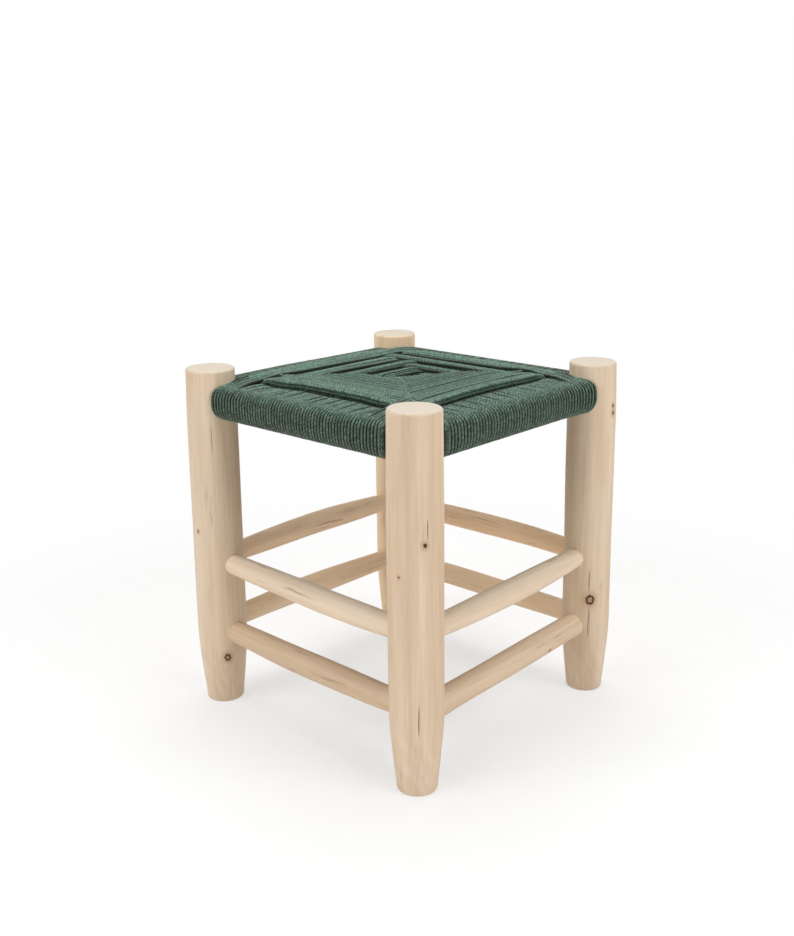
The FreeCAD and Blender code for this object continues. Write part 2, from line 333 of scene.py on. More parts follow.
def refine(values, spots, width, step):
    """Adds closer values round each spot."""
    found = [values]
    for spot in spots:
        found.append(np.arange(spot - width, spot + width + step / 2, step))
    merged = np.unique(np.round(np.concatenate(found), 4))
    keep = [merged[0]]
    for value in merged[1:]:
        if value - keep[-1] > step * 0.6:
            keep.append(value)
    return np.array(keep)


def slopes(x, y):
    """Slopes of a smooth curve through points that never overshoots them."""
    x, y = np.asarray(x, float), np.asarray(y, float)
    h, d = np.diff(x), np.diff(y) / np.diff(x)
    m = np.zeros_like(y)
    same = d[:-1] * d[1:] > 0
    w1, w2 = 2 * h[1:] + h[:-1], h[1:] + 2 * h[:-1]
    with np.errstate(divide="ignore", invalid="ignore"):
        inner = (w1 + w2) / (w1 / d[:-1] + w2 / d[1:])
    m[1:-1] = np.where(same, inner, 0.0)
    m[0], m[-1] = d[0], d[-1]
    return m


def curve_at(x, y, m, at):
    """The smooth curve of slopes() at some places."""
    x, y = np.asarray(x, float), np.asarray(y, float)
    i = np.clip(np.searchsorted(x, at) - 1, 0, len(x) - 2)
    h = x[i + 1] - x[i]
    s = (at - x[i]) / h
    return ((2 * s**3 - 3 * s**2 + 1) * y[i] + (s**3 - 2 * s**2 + s) * h * m[i]
            + (-2 * s**3 + 3 * s**2) * y[i + 1] + (s**3 - s**2) * h * m[i + 1])


def new_object(name, points, faces, material):
    """A smooth mesh object from points in metres."""
    mesh = bpy.data.meshes.new(name)
    mesh.from_pydata([tuple(p) for p in points], [], faces)
    mesh.update()
    mesh.polygons.foreach_set("use_smooth", np.ones(len(faces), dtype=bool))
    thing = bpy.data.objects.new(name, mesh)
    bpy.context.scene.collection.objects.link(thing)
    mesh.materials.append(material)
    return thing


def rod(name, profile, angles, radius_at, centre_at, axes, material):
    """A closed round piece.

    profile is (distance along, radius) from one end's middle to the other's. axes are the origin, the
    way along and the two ways across.
    """
    origin, w, u, v = (np.array(a, float) for a in axes)
    count = len(angles)
    points, grain = [], []
    for along, radius in profile[1:-1]:
        r = radius_at(along, radius, angles)
        shift_u, shift_v = centre_at(along)
        a = shift_u + r * np.cos(angles)
        b = shift_v + r * np.sin(angles)
        points.append(origin + along * w + a[:, None] * u + b[:, None] * v)
        grain.append(np.stack([a, b, np.full(count, along)], 1))
    rows = len(points)
    for along, _ in (profile[0], profile[-1]):
        shift_u, shift_v = centre_at(along)
        points.append((origin + along * w + shift_u * u + shift_v * v)[None])
        grain.append(np.array([[shift_u, shift_v, along]]))
    faces = []
    for row in range(0, (rows - 1) * count, count):
        for k in range(count):
            n = (k + 1) % count
            faces.append((row + k, row + n, row + count + n, row + count + k))
    first, last = rows * count, rows * count + 1
    for k in range(count):
        n = (k + 1) % count
        faces.append((first, n, k))
        faces.append((last, (rows - 1) * count + k, (rows - 1) * count + n))
    thing = new_object(name, np.concatenate(points) * MM, faces, material)
    layer = thing.data.attributes.new("grain", "FLOAT_VECTOR", "POINT")
    layer.data.foreach_set("vector", (np.concatenate(grain) * MM).astype(np.float32).ravel())
    return thing


# Legs
# Steps of a leg's mesh along it and round it in degrees, and the closer ones round knots and cracks
LEG_STEP, LEG_TURN = 3.4, 3.75
KNOT_REACH, KNOT_STEP = 7.0, 0.9
CRACK_REACH, CRACK_STEP = 3.6, 0.6
# Knots as (turn in degrees, height, radius, kind) and cracks as (turn, low end, high end, half width)
LEG_KNOTS = {
    "front": ((-119.0, 237.4, 2.3, "solid"), (-173.0, 208.0, 1.2, "solid"), (62.0, 142.0, 2.6, "ring"),
              (20.0, 268.0, 1.6, "solid")),
    "left": ((180.0, 186.5, 1.7, "solid"), (-118.9, 51.8, 3.6, "ring"), (48.0, 231.0, 2.2, "solid")),
    "right": ((-135.8, 105.3, 4.6, "ring"), (-88.0, 307.5, 2.0, "solid"), (-87.0, 300.2, 2.3, "solid"),
              (70.0, 190.0, 2.4, "ring")),
    "back": ((-120.0, 262.0, 1.4, "solid"), (60.0, 214.0, 3.0, "ring"), (100.0, 96.0, 1.8, "solid")),
}
LEG_CRACKS = {
    "front": ((-113.5, 240.0, 262.0, 0.45), (-132.9, 60.0, 94.0, 0.55)),
    "left": ((-132.2, 266.0, 300.0, 0.24), (30.0, 40.0, 88.0, 0.5)),
    "right": ((-138.5, 60.0, 101.0, 0.6), (-139.8, 112.0, 140.0, 0.45)),
    "back": ((75.0, 262.0, 310.0, 0.5),),
}
# How much thinner than its full radius each peeled leg is, as (height, share of the radius)
SLIM_SHARES = {
    "front": ((0.0, 0.98), (60.0, 0.985), (150.0, 0.99), (260.0, 0.99), (305.0, 0.972), (340.0, 0.958)),
    "left": ((0.0, 0.99), (200.0, 0.983), (260.0, 0.99), (305.0, 0.98), (340.0, 0.952)),
    "right": ((0.0, 0.995), (160.0, 0.972), (240.0, 0.988), (305.0, 0.988), (345.0, 0.945)),
    "back": ((0.0, 1.0), (350.0, 1.0)),
}
LEG_GRAIN_SEED = {"front": 35, "left": 30, "right": 39, "back": 34}
# Tints of the wood, with painted light that makes the back leg paler, as if more light reached it
LEG_TINT_AND_LIGHT = {
    "front": (1.0, 1.0, 1.0),
    "left": (1.0, 1.02, 1.04),
    "right": (1.0, 1.02, 1.04),
    "back": (1.25, 1.22, 1.16),
}
# How far each leg's foot stands off its axis, and which way
LEAN = {"front": 0.8, "left": 0.4, "right": 1.1, "back": 0.5}
LEAN_WAY = (0.6725, -0.74)
# Turns in degrees of the mesh rows on a rounded edge
ROUND_TURNS = (0.0, 22.5, 45.0, 67.5, 90.0)
# Radius below which a rod's waves and marks fade out, so that its end faces have an even middle
FLAT_RADIUS = 8.0


def leg_profile(radius, steps):
    """(height, radius) of a leg from the middle of its foot to the middle of its top."""
    foot = TAPER[0][1] * radius
    rows = [(0.0, foot * share) for share in (0.0, 0.25, 0.5, 0.75)]
    rows.append((0.0, foot - FOOT_ROUND))
    for turn in ROUND_TURNS[1:-1]:
        a = math.radians(turn)
        rows.append((FOOT_ROUND * (1 - math.cos(a)), foot - FOOT_ROUND * (1 - math.sin(a))))
    heights = [h * TAPER_HEIGHT for h, _ in TAPER]
    radii = [s * radius for _, s in TAPER]
    m = slopes(heights, radii)
    m[-1] = 0.0
    for z in steps:
        rows.append((z, float(curve_at(heights, radii, m, z)) if z < TAPER_HEIGHT else radius))
    for turn in ROUND_TURNS:
        a = math.radians(turn)
        rows.append((LEG_HEIGHT - TOP_ROUND * (1 - math.sin(a)), radius - TOP_ROUND * (1 - math.cos(a))))
    return rows + [(LEG_HEIGHT, radius * share) for share in (0.72, 0.5, 0.28, 0.1, 0.0)]


def leg_marks(corner):
    """A leg's knots and cracks in its grain space, in metres, as its material takes them."""
    radius = LEG_RADIUS[corner]
    marks, lines = [], []
    for turn, height, size, kind in LEG_KNOTS[corner]:
        a = math.radians(turn)
        marks.append(((radius * math.cos(a) * MM, radius * math.sin(a) * MM, height * MM), size * MM, kind))
    for turn, low, high, half in LEG_CRACKS[corner]:
        a = math.radians(turn)
        out = (math.cos(a), math.sin(a), 0.0)
        r = radius - (1.5 if high < 70 else 0.7)
        centre = (r * out[0] * MM, r * out[1] * MM, (low + high) / 2 * MM)
        lines.append((centre, (-out[1], out[0], 0.0), out, (high - low) / 2 * MM, half * MM))
    return marks, lines


def make_leg(corner):
    rng = np.random.default_rng(11 + list(CORNER).index(corner))
    radius = LEG_RADIUS[corner]
    sign_x, sign_y = CORNER[corner]
    knots, cracks = LEG_KNOTS[corner], LEG_CRACKS[corner]
    steps = refine(np.arange(FOOT_ROUND, LEG_HEIGHT - TOP_ROUND - 1.0, LEG_STEP),
                   [k[1] for k in knots if k[2] > 1.5], KNOT_REACH, KNOT_STEP)
    turns = refine(np.arange(-180.0, 176.0, LEG_TURN), [c[0] for c in cracks], CRACK_REACH, CRACK_STEP)
    turns = turns[(turns > -181.0) & (turns < 178.0)]
    rows = waves(rng, 5, 0.08)

    def off_mark(angle, turn):
        """Distance round the leg from a mark at this turn."""
        return radius * np.radians((np.degrees(angle) - turn + 180) % 360 - 180)

    def radius_at(along, base, angle):
        share = np.clip(base / FLAT_RADIUS, 0, 1)
        r = base * np.interp(along, *zip(*SLIM_SHARES[corner])) + share * wave_sum(rows, angle, along)
        for turn, height, size, _ in knots:
            gap = (off_mark(angle, turn) / (size * 1.7)) ** 2 + ((along - height) / (size * 2.1)) ** 2
            r = r + share * 0.16 * size * np.exp(-gap) - share * 0.12 * size * np.exp(-gap * 7)
        for turn, low, high, half in cracks:
            fade = np.clip((along - low) / 6, 0, 1) * np.clip((high - along) / 6, 0, 1)
            r = r - share * 0.7 * fade * np.exp(-((off_mark(angle, turn) / (half * 0.9)) ** 2))
        return r

    def centre_at(along):
        low = (1 - along / LEG_HEIGHT) ** 1.5
        return LEAN_WAY[0] * LEAN[corner] * low, LEAN_WAY[1] * LEAN[corner] * low

    material = wood_material("wood_leg_" + corner, LEG_GRAIN_SEED[corner], *leg_marks(corner), 0.3,
                             LEG_HEIGHT * MM, LEG_TINT_AND_LIGHT[corner])
    origin = (sign_x * SPAN["x"] / 2, sign_y * SPAN["y"] / 2, 0)
    axes = (origin, (0, 0, 1), (1, 0, 0), (0, 1, 0))
    thing = rod("leg_" + corner + "_peeled", leg_profile(radius, steps), np.radians(turns), radius_at,
                centre_at, axes, material)
    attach(thing, "root")
    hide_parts("leg_" + corner)


# Stretchers
# How much lower than in the CAD each side's stretchers stand, and how far they reach into the legs
STRETCHER_LOWER = {"front_left": 1.6, "front_right": 1.7, "back_left": 0.9, "back_right": 0.8}
STRETCHER_INSIDE = 8.0
# Tints of each stretcher's wood. On the back stretchers they are partly painted light, which makes them paler
STRETCHER_TINT_AND_LIGHT = {
    ("front_left", "upper"): (1.13, 1.18, 1.25),
    ("front_left", "lower"): (0.93, 0.90, 0.87),
    ("front_right", "upper"): (1.08, 1.12, 1.18),
    ("front_right", "lower"): (1.0, 1.0, 1.0),
    ("back_left", "upper"): (1.16, 1.13, 1.10),
    ("back_left", "lower"): (1.12, 1.10, 1.07),
    ("back_right", "upper"): (1.25, 1.14, 1.03),
    ("back_right", "lower"): (1.12, 1.07, 1.0),
}
# Knots as (distance along, turn in degrees, radius, kind)
STRETCHER_KNOTS = {
    ("back_left", "upper"): ((97.0, 250.0, 1.9, "solid"),),
    ("front_right", "upper"): ((131.0, -100.0, 1.3, "solid"), (108.0, -120.0, 1.0, "solid")),
    ("front_right", "lower"): ((188.0, 200.0, 1.5, "solid"),),
    ("front_left", "upper"): ((80.0, 200.0, 1.1, "solid"),),
    ("front_left", "lower"): ((190.0, 215.0, 1.0, "solid"),),
    ("back_right", "lower"): ((90.0, 200.0, 1.7, "ring"),),
}


def make_stretcher(side, tier):
    first, second, run = SIDES[side]
    z_first, z_second, bow, end_share, middle_share = STRETCHERS[(side, tier)]
    rng = np.random.default_rng(40 + 2 * list(SIDES).index(side) + (tier == "upper"))
    end, middle = STRETCHER_END * end_share, STRETCHER_MIDDLE * middle_share
    start, finish = LEG_RADIUS[first], SPAN[run] - LEG_RADIUS[second]
    rows = waves(rng, 6, 0.17)
    side_wave, side_phase = rng.uniform(-0.6, 0.6), rng.uniform(0, TAU)

    def share_at(along):
        return min(max((along - start) / (finish - start), 0.0), 1.0)

    def bulge(size, along):
        """This size in the middle, and less towards both ends, where it is 0."""
        s = share_at(along)
        return size * 4 * s * (1 - s)

    def plain_radius(along):
        return end + bulge(middle - end, along)

    def centre_at(along):
        s = share_at(along)
        lift = (z_first + (z_second - z_first) * s) * STRETCHER_Z[tier] + bulge(STRETCHER_BOW * bow, along)
        return bulge(side_wave * math.sin(3.0 * s + side_phase), along), lift - STRETCHER_LOWER[side]

    def radius_at(along, base, angle):
        return base + np.clip(base / FLAT_RADIUS, 0, 1) * wave_sum(rows, angle, along)

    low, high = start - STRETCHER_INSIDE, finish + STRETCHER_INSIDE
    places = [low, *np.linspace(start - 2, finish + 2, 92), high]
    profile = [(low, 0.0), *((float(along), plain_radius(along)) for along in places), (high, 0.0)]
    sign_x, sign_y = CORNER[first]
    origin = (sign_x * SPAN["x"] / 2, sign_y * SPAN["y"] / 2, 0)
    ways = ((1, 0, 0), (0, 1, 0)) if run == "x" else ((0, 1, 0), (-1, 0, 0))
    marks = []
    for along, turn, size, kind in STRETCHER_KNOTS.get((side, tier), ()):
        a, r = math.radians(turn), plain_radius(along)
        shift_u, shift_v = centre_at(along)
        centre = ((shift_u + r * math.cos(a)) * MM, (shift_v + r * math.sin(a)) * MM, along * MM)
        marks.append((centre, size * MM, kind))
    name = "stretcher_" + side + "_" + tier
    seed = 5.3 + 3.1 * list(STRETCHERS).index((side, tier))
    material = wood_material("wood_" + name, seed, marks, (), 0.62, tint=STRETCHER_TINT_AND_LIGHT[(side, tier)])
    thing = rod(name + "_shaved", profile, np.arange(40) * TAU / 40, radius_at, centre_at,
                (origin, *ways, (0, 0, 1)), material)
    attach(thing, "root")
    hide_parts(name)


# Seat rails
# Scale of their grain across and along it, in features per metre
RAIL_GRAIN = (330.0, 9.0)
# Painted shade: dark colours of the rails, which show through the gaps between the turns
RAIL_SHADE_COLOURS = ((0.3, linear(58, 56, 44)), (0.7, linear(96, 88, 70)))


def rail_material(run):
    """The seat rails keep their CAD shape. Their wood is painted dark as shade, so that it shows dark through
    the gaps in the cord.
    """
    t = Tree("wood_rail_" + run)
    place = t.new("TexCoord").outputs["Object"]
    across, along = RAIL_GRAIN
    stretch = (along, across, across) if run == "x" else (across, along, across)
    streak = t.noise(place, stretch, 4.0, 0.6)
    fibre = t.noise(place, tuple(4.5 * s for s in stretch), 2.0)
    colour = t.ramp(streak, RAIL_SHADE_COLOURS)
    colour = t.mix(t.span(fibre, 0.5, 0.75, 0.0, 0.35), colour, linear(40, 40, 32))
    return t.surface(colour, t.span(streak, 0.3, 0.7, 0.6, 0.75), fibre, 0.3, 0.0006, 0.3)


def dress_rails():
    looks = {run: rail_material(run) for run in SPAN}
    for side, (_, _, run) in SIDES.items():
        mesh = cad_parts["seat_rail_" + side].data
        mesh.materials.clear()
        mesh.materials.append(looks[run])
        mesh.polygons.foreach_set("use_smooth", np.ones(len(mesh.polygons), dtype=bool))


for corner in CORNER:
    make_leg(corner)
for side, tier in STRETCHERS:
    make_stretcher(side, tier)
dress_rails()

# Cord
# A cord is a little flattened: half its height, and half its width for each run
CORD_RADIUS = 1.62
CORD_HALF = {"x": 1.86, "y": 2.03}
# Height from one layer of turns to the next, and the length of one twist of the lay
STEP, PITCH = 3.12, 10.0
WRAP = RAIL_RADIUS + 0.3 + CORD_RADIUS
# Powers of the rounded square that the winding's outer half follows, over and under its middle
WRAP_POWERS = {"near": (3.3, 2.6), "far": (2.05, 2.6)}
# Turns of each run, how far out the last ones lie in the seat and on the rail, and how many are crowded there
COUNT = {"x": 58, "y": 53}
EDGE, CROWN_EDGE, CROWDED = 106.4, 107.3, 12
PLACES = {run: np.linspace(-EDGE, EDGE, COUNT[run]) for run in COUNT}
OTHER = {"x": "y", "y": "x"}
SIDE_OF = {("x", -1): "front_right", ("x", 1): "back_left", ("y", -1): "front_left", ("y", 1): "back_right"}
# Spacing of a turn's points on top and underneath, and of those that its curve is first drawn with
TOP_SPACING, BOTTOM_SPACING, CURVE_STEP = 1.0, 1.5, 0.45
ARC_POINTS, STRAIGHT_SHARES = 80, (0.0, 0.45, 0.8)

# Height of the seat's top surface over its outer edge and over the rest of ring 1
OUTER_TOP = {"front_left": 344.75, "front_right": 344.25, "back_left": 342.6, "back_right": 341.2}
RING_ONE = {"far": 342.2, "near": 344.1}
# Height at the outer edge and the roll of each inner ring
RING_TOPS = {
    "near": (None, (343.3, 342.7), (342.5, 342.1), (341.7, 338.8)),
    "far": (None, (337.6, 342.1), (337.6, 342.0), (337.6, 341.9)),
}
CENTRE_TOP = RING_TOPS["near"][3][1]
# How each side's outer ridge sinks towards its low and high end, as (starts to sink, has sunk, height there)
RIDGE_ENDS = {
    "front_left": ((44.0, 94.0, 342.3), (22.0, 64.0, 342.5)),
    "front_right": ((20.0, 94.0, 342.2), (0.0, 84.0, 342.2)),
    "back_left": ((44.0, 96.0, 342.0), (44.0, 100.0, 339.6)),
    "back_right": ((44.0, 96.0, 340.4), (44.0, 96.0, 340.0)),
}
# Where the outer ridge rises from ring 1
RIDGE_RISE = {"near": (89.0, 102.0), "far": (97.0, EDGE)}
# Falls of the top surface, as (how far, between which places across): of ring 1 at both ends, of ring 1 on
# the back right, of near bands towards the left or right corner, and of the middle of the near right
END_FALL = (2.0, (87.0, 106.0))
BACK_RIGHT_FALL = (0.9, (-80.0, -40.0))
CORNER_FALLS = ((2.3, (40.0, 82.0)), (1.38, (36.0, 70.0)))
CENTRE_FALL = (1.5, (0.0, 28.0))
# How much lower a far band's inner edge lies than its roll's crest, at the band's low and high end
CREST_DROPS, CREST_FADE = (1.2, 2.4), (-40.0, 50.0)
RING_ONE_DROP, RING_ONE_DROP_FADE = (98.0, 88.0), (-84.0, -50.0)
# Shares of a ring's width over which its top rises, and falls again to its inner edge
NEAR_RISE, FAR_RISE, FAR_DROP = (0.0, 0.8), (0.04, 0.72), (0.68, 0.97)
# Where the turns along X come up over the others in the innermost ring of the back left, and how fast
TONGUE_START, TONGUE_RISE = -26.0, 9.0
# Gap under each near ridge, over the turns that it crosses
RIDGE_GAP = {"front_left": 1.3, "front_right": 0.3}
# Ends of the stretch in which the two strands of a near ridge close up, and how far
STACK_CLOSES, STACK_SHARE = (64.0, 88.0), 0.5
# How far a turn dips at its last crossings before it goes under, in ring 1 and in the inner rings
DIPS = {"outer": (2.2, 1.2, 0.4), "inner": (1.2, 0.5, 0.1)}

# Lift of the turns over the far left rail's crown, as (place, lift), and where it sets in
CROWN_LIFT = ((-106.4, 0.5), (-95.0, 0.7), (-33.0, 1.2), (30.0, 0.25), (87.0, -0.1), (106.4, -0.2))
LIFT_START = (108.0, 128.0)
# How much further out and higher the last turns stand beside the right leg, and where that sets in
SWOLLEN, SWOLLEN_START = 1.3, (-6.0, 8.0)
SWOLLEN_HEIGHT, SWOLLEN_HEIGHT_START = 0.05, (-5.0, 9.0)
# Where the turns start to crowd towards the rail, how far the stacked strand stands out, and where the room
# beside a leg stops to matter
CROWD_START, STACKED_OUT, LEG_FADE = 84.0, 0.45, (8.0, 26.0)

# Partings. Widest parting between turns at the outer ridge, and in the field of the near right side
PART_REACH, FIELD_REACH = 2.1, 0.6
PART_SEEDS, FIELD_SEED = {-1: 69, 1: 78}, 64
# Least and most turns in a group
PART_GROUP, FIELD_GROUP = (2, 4), (1, 3)
# Where a parting opens and starts to close, where it has closed and how much that varies
PART_OPENS, PART_CLOSES, CLOSED, CLOSED_VARIES = (104.0, 120.0), 126.0, 141.0, 6.0
# The far bands' turns don't part near the left and right legs
PART_ENDS = (74.0, 96.0)
# Where the shade in a parting shows, and how strongly for each run
PART_SHADE, PART_STRENGTH = ((66.0, 98.0), (130.0, 150.0)), {"x": 1.0, "y": 0.82}
# How far the turns on both sides of the seam at the left and right corner move away from it, how many
# millimetres from it they still do, where, and how strong the painted shade in the gap between them is
SEAM_GAP, SEAM_WIDTH, SEAM_REACH, SEAM_STRENGTH = 0.9, 5.0, ((84.0, 96.0), (126.0, 146.0)), 1.6
# Least and most shade between the turns in the field of the near right side, and where the field ends
FIELD_CREASE, FIELD_LINE, FIELD_END = 0.66, 0.80, (66.0, 98.0)
# Where the painted shade over a far band's inner step ends, and the painted shade at the foot of a near ridge
STEP_END, FOOT_END = (100.0, 112.0), (109.2, 112.4)
# Shade beside the left and right legs at the far edge: its width, and where it lies along a turn
NOTCH_WIDTH, NOTCH = 9.0, ((106.0, 110.0), (127.0, 133.0))
# How far a turn may stand proud of its neighbours or sink between them, how much of that is left on the near
# left side, and where it ends
UNEVEN, UNEVEN_LEFT, UNEVEN_END = 0.36, 0.7, (80.0, 96.0)


def smoothstep(low, high, value):
    s = np.clip((value - low) / (high - low), 0, 1)
    return s * s * (3 - 2 * s)


def window(stretch, value):
    """1 inside a stretch, and 0 outside it, given as (where it opens, where it closes)."""
    opens, closes = stretch
    return smoothstep(*opens, value) * (1 - smoothstep(*closes, value))


def fall(depth_and_stretch, across):
    depth, stretch = depth_and_stretch
    return depth * smoothstep(*stretch, across)


def side_at(run, place):
    """Side of the seat whose band holds the turn of this run at this place."""
    return SIDE_OF[(run, 1 if place > 0 else -1)]


def ring_of(run, place):
    """Ring of a turn that lies at this distance from the middle."""
    edges = RING_EDGES[OTHER[run]]
    for ring in range(3):
        if abs(place) >= edges[ring + 1]:
            return ring
    return 3


def ring_one_level(side, view, far, across):
    """Height of the top in the outermost ring, from its inner edge to its ridge."""
    start, end, low = RIDGE_ENDS[side][1 if across > 0 else 0]
    outer = OUTER_TOP[side] + (low - OUTER_TOP[side]) * smoothstep(start, end, abs(across))
    inner = RING_ONE[view] - fall(END_FALL, abs(across))
    if side == "back_right":
        inner -= fall(BACK_RIGHT_FALL, across)
    if view == "near":
        inner -= fall(CORNER_FALLS[0], across)
    else:
        drop = crest_drop(across) * smoothstep(*RING_ONE_DROP_FADE, across)
        inner -= drop * smoothstep(*RING_ONE_DROP, far)
    return inner + (outer - inner) * smoothstep(*RIDGE_RISE[view], far)


def crest_drop(across):
    return CREST_DROPS[0] + (CREST_DROPS[1] - CREST_DROPS[0]) * smoothstep(*CREST_FADE, across)


def top_level(run, place, across):
    """Height of the cord's top where a turn at this place lies over the others."""
    side, ring, far = side_at(run, place), ring_of(run, place), abs(place)
    view = "near" if side in RIDGE_GAP else "far"
    if ring == 0:
        return ring_one_level(side, view, far, across)
    edges = RING_EDGES[OTHER[run]]
    share = (edges[ring] - far) / (edges[ring] - edges[ring + 1])
    low, high = RING_TOPS[view][ring]
    if view == "near":
        height = low + (high - low) * smoothstep(*NEAR_RISE, share)
        if ring == 1:
            height -= fall(CORNER_FALLS[1], across)
        return height - (fall(CENTRE_FALL, across) if ring == 3 and run == "x" else 0.0)
    if side == "back_right" and ring == 3:
        return CENTRE_TOP - CENTRE_FALL[0]
    if ring == 3:
        risen = smoothstep(0.0, TONGUE_RISE, across - TONGUE_START)
        low, high = (CENTRE_TOP + (value - CENTRE_TOP) * risen for value in (low, high))
    height = low + (high - low) * smoothstep(*FAR_RISE, share)
    return height - crest_drop(across) * smoothstep(*FAR_DROP, share)


def x_is_over(x, y):
    """Whether the turn along X lies over the turn along Y where they cross."""
    ring_x, ring_y = ring_of("y", x), ring_of("x", y)
    if ring_x != ring_y:
        return ring_y < ring_x
    if x > 0 and y > 0:
        return ring_x != 1
    if ring_x == 0:
        return not y < 0 < x
    if x < 0 < y and ring_x == 3:
        return x > TONGUE_START
    return abs(y) > abs(x)


def crossing(run, place, across):
    """Where the turn at this place crosses the turn of the other run at across, as (x, y)."""
    return (across, place) if run == "x" else (place, across)


def is_over(run, place, across):
    return x_is_over(*crossing(run, place, across)) == (run == "x")


def stack_step(across):
    """Step between the two stacked strands of a near ridge, which close up at its ends."""
    return STEP * (1 - STACK_SHARE * smoothstep(*STACK_CLOSES, abs(across)))


def level(run, place, across):
    """Height of a turn's middle where it crosses the turn of the other run at across."""
    if is_over(run, place, across):
        return top_level(run, place, across) - CORD_RADIUS
    under = top_level(OTHER[run], across, place) - CORD_RADIUS - STEP
    ridge = side_at(OTHER[run], across)
    if abs(across) > EDGE - 0.1 and ridge in RIDGE_GAP:
        under -= stack_step(place) + RIDGE_GAP[ridge]
    return under


def dips(run, place, nodes):
    """How far a turn dips at each crossing before it goes under the turns of the other run."""
    over = [is_over(run, place, a) for a in nodes]
    drop = np.zeros(len(nodes))
    for k in range(len(nodes)):
        for way in (-1, 1):
            there = k + way
            if not 0 <= there < len(nodes) or not over[k] or over[there]:
                continue
            x, y = crossing(run, place, nodes[there])
            rings = ring_of("y", x), ring_of("x", y)
            back, front = x > 0 and y > 0, x < 0 and y < 0
            if front or not (back or rings == (0, 0)):
                continue
            for j, depth in enumerate(DIPS["outer" if min(rings) == 0 else "inner"]):
                spot = k - way * j
                if 0 <= spot < len(nodes) and over[spot]:
                    drop[spot] = max(drop[spot], depth)
    return drop


def leg_limit(run, sign, end, outward):
    """Furthest across that a turn's middle may lie beside the leg, outward from the leg's axis line."""
    corner = {value: key for key, value in CORNER.items()}[crossing(run, sign, end)]
    clear = LEG_RADIUS[corner] + CORD_RADIUS + 0.05
    return SPAN[OTHER[run]] / 2 - np.sqrt(np.maximum(clear**2 - np.minimum(outward, clear) ** 2, 0.0))


def crown_place(run, index, extra):
    """Place of a turn at the crown of the rail, where the turns near the legs are crowded."""
    spots = PLACES[run]
    from_end = min(index, len(spots) - 1 - index)
    if from_end >= CROWDED:
        return spots[index]
    sign = 1 if spots[index] > 0 else -1
    inner = abs(spots[CROWDED])
    more = 1 if side_at(run, sign) in RIDGE_GAP else 0
    rank = 0 if extra else from_end + more
    return sign * (CROWN_EDGE - (CROWN_EDGE - inner) * rank / (CROWDED + more))


def crowding(run, crown):
    """How crowded a turn is at the crown, from 0 at the first crowded one to 1 at the outermost."""
    inner = abs(PLACES[run][CROWDED])
    return (crown - inner) / (CROWN_EDGE - inner)


def parted(seed, count, reach, least, most):
    """Sideways drift of each turn, and the gap before it, for groups of least to most turns."""
    rng = np.random.default_rng(seed)
    gaps = np.zeros(count)
    spot = int(rng.integers(2, 5))
    while spot < count - 1:
        gaps[spot] = rng.uniform(0.35, 1.0) * reach
        spot += int(rng.integers(least, most + 1))
    drift = np.cumsum(gaps)
    return drift - drift[-1] * np.arange(count) / (count - 1), gaps


PARTS = {}
for run in COUNT:
    for end, seed in PART_SEEDS.items():
        PARTS[(run, end)] = parted(seed, COUNT[run], PART_REACH, *PART_GROUP)
FIELD_DRIFT, FIELD_GAPS = parted(FIELD_SEED, COUNT["x"], FIELD_REACH, *FIELD_GROUP)


def wrap_points(turns, view):
    """Outward and upward distance from the rail's axis of a cord at these turns, from the inward level."""
    across, over = np.cos(turns), np.sin(turns)
    power = np.where(over > 0, *WRAP_POWERS[view])
    square = (np.abs(across) ** power + np.abs(over) ** power) ** (-1 / power)
    reach = WRAP * np.where(across > 0, 1.0, square)
    return np.stack([-reach * across, reach * over], 1)


def leaving_turn(inward, upward, view):
    """Turn at which a cord drawn straight to a point over the seat leaves the winding."""
    turns = np.radians(np.linspace(60.0, 175.0, 461))
    points = wrap_points(turns, view)
    rise = np.arctan2(points[:, 1] - upward, points[:, 0] + inward)
    return turns[rise.argmax()]


def turn_outline(run, heights):
    """Closed outline of a turn in its own plane, as (along, height) points, and the spacing wanted there."""
    rail = SPAN[run] / 2
    straights, arcs = [], []
    for end, view, height in ((-1, "near", heights[0]), (1, "far", heights[-1])):
        # a stretched turn runs straight from the rail to the first turn that it crosses
        lift = leaving_turn(rail - EDGE, height - RAIL_Z, view)
        around = wrap_points(np.linspace(lift, TAU - lift, ARC_POINTS), view)
        arc = np.stack([end * (rail + around[:, 0]), RAIL_Z + around[:, 1]], 1)
        arcs.append(arc)
        crossed = np.array([end * EDGE, height])
        straights.append(np.array([arc[0] + (crossed - arc[0]) * s for s in STRAIGHT_SHARES]))
    nodes = np.stack([PLACES[OTHER[run]], heights], 1)
    x, z = np.concatenate([straights[0], nodes, straights[1][::-1]]).T
    steps = np.linspace(x[0], x[-1], int((x[-1] - x[0]) / CURVE_STEP))
    top = np.stack([steps, curve_at(x, z, slopes(x, z), steps)], 1)
    bottom = np.stack([top[::-1, 0], 2 * RAIL_Z - top[::-1, 1]], 1)
    parts = ((top, TOP_SPACING), (arcs[1][1:-1], TOP_SPACING), (bottom, BOTTOM_SPACING),
             (arcs[0][::-1][1:-1], TOP_SPACING))
    spacing = [np.full(len(part), gap) for part, gap in parts]
    return np.concatenate([part for part, _ in parts]), np.concatenate(spacing)


def even_steps(line, spacing):
    """Even points on a closed outline: along, height, distance on the cord, and share of the whole way."""
    closed = np.concatenate([line, line[:1]])
    lengths = np.hypot(*np.diff(closed, axis=0).T)
    weight = np.concatenate([[0], np.cumsum(lengths / spacing)])
    at = np.linspace(0, weight[-1], int(round(weight[-1])) + 1)[:-1]
    distance = np.interp(at, weight, np.concatenate([[0], np.cumsum(lengths)]))
    return np.interp(at, weight, closed[:, 0]), np.interp(at, weight, closed[:, 1]), distance, at / weight[-1]


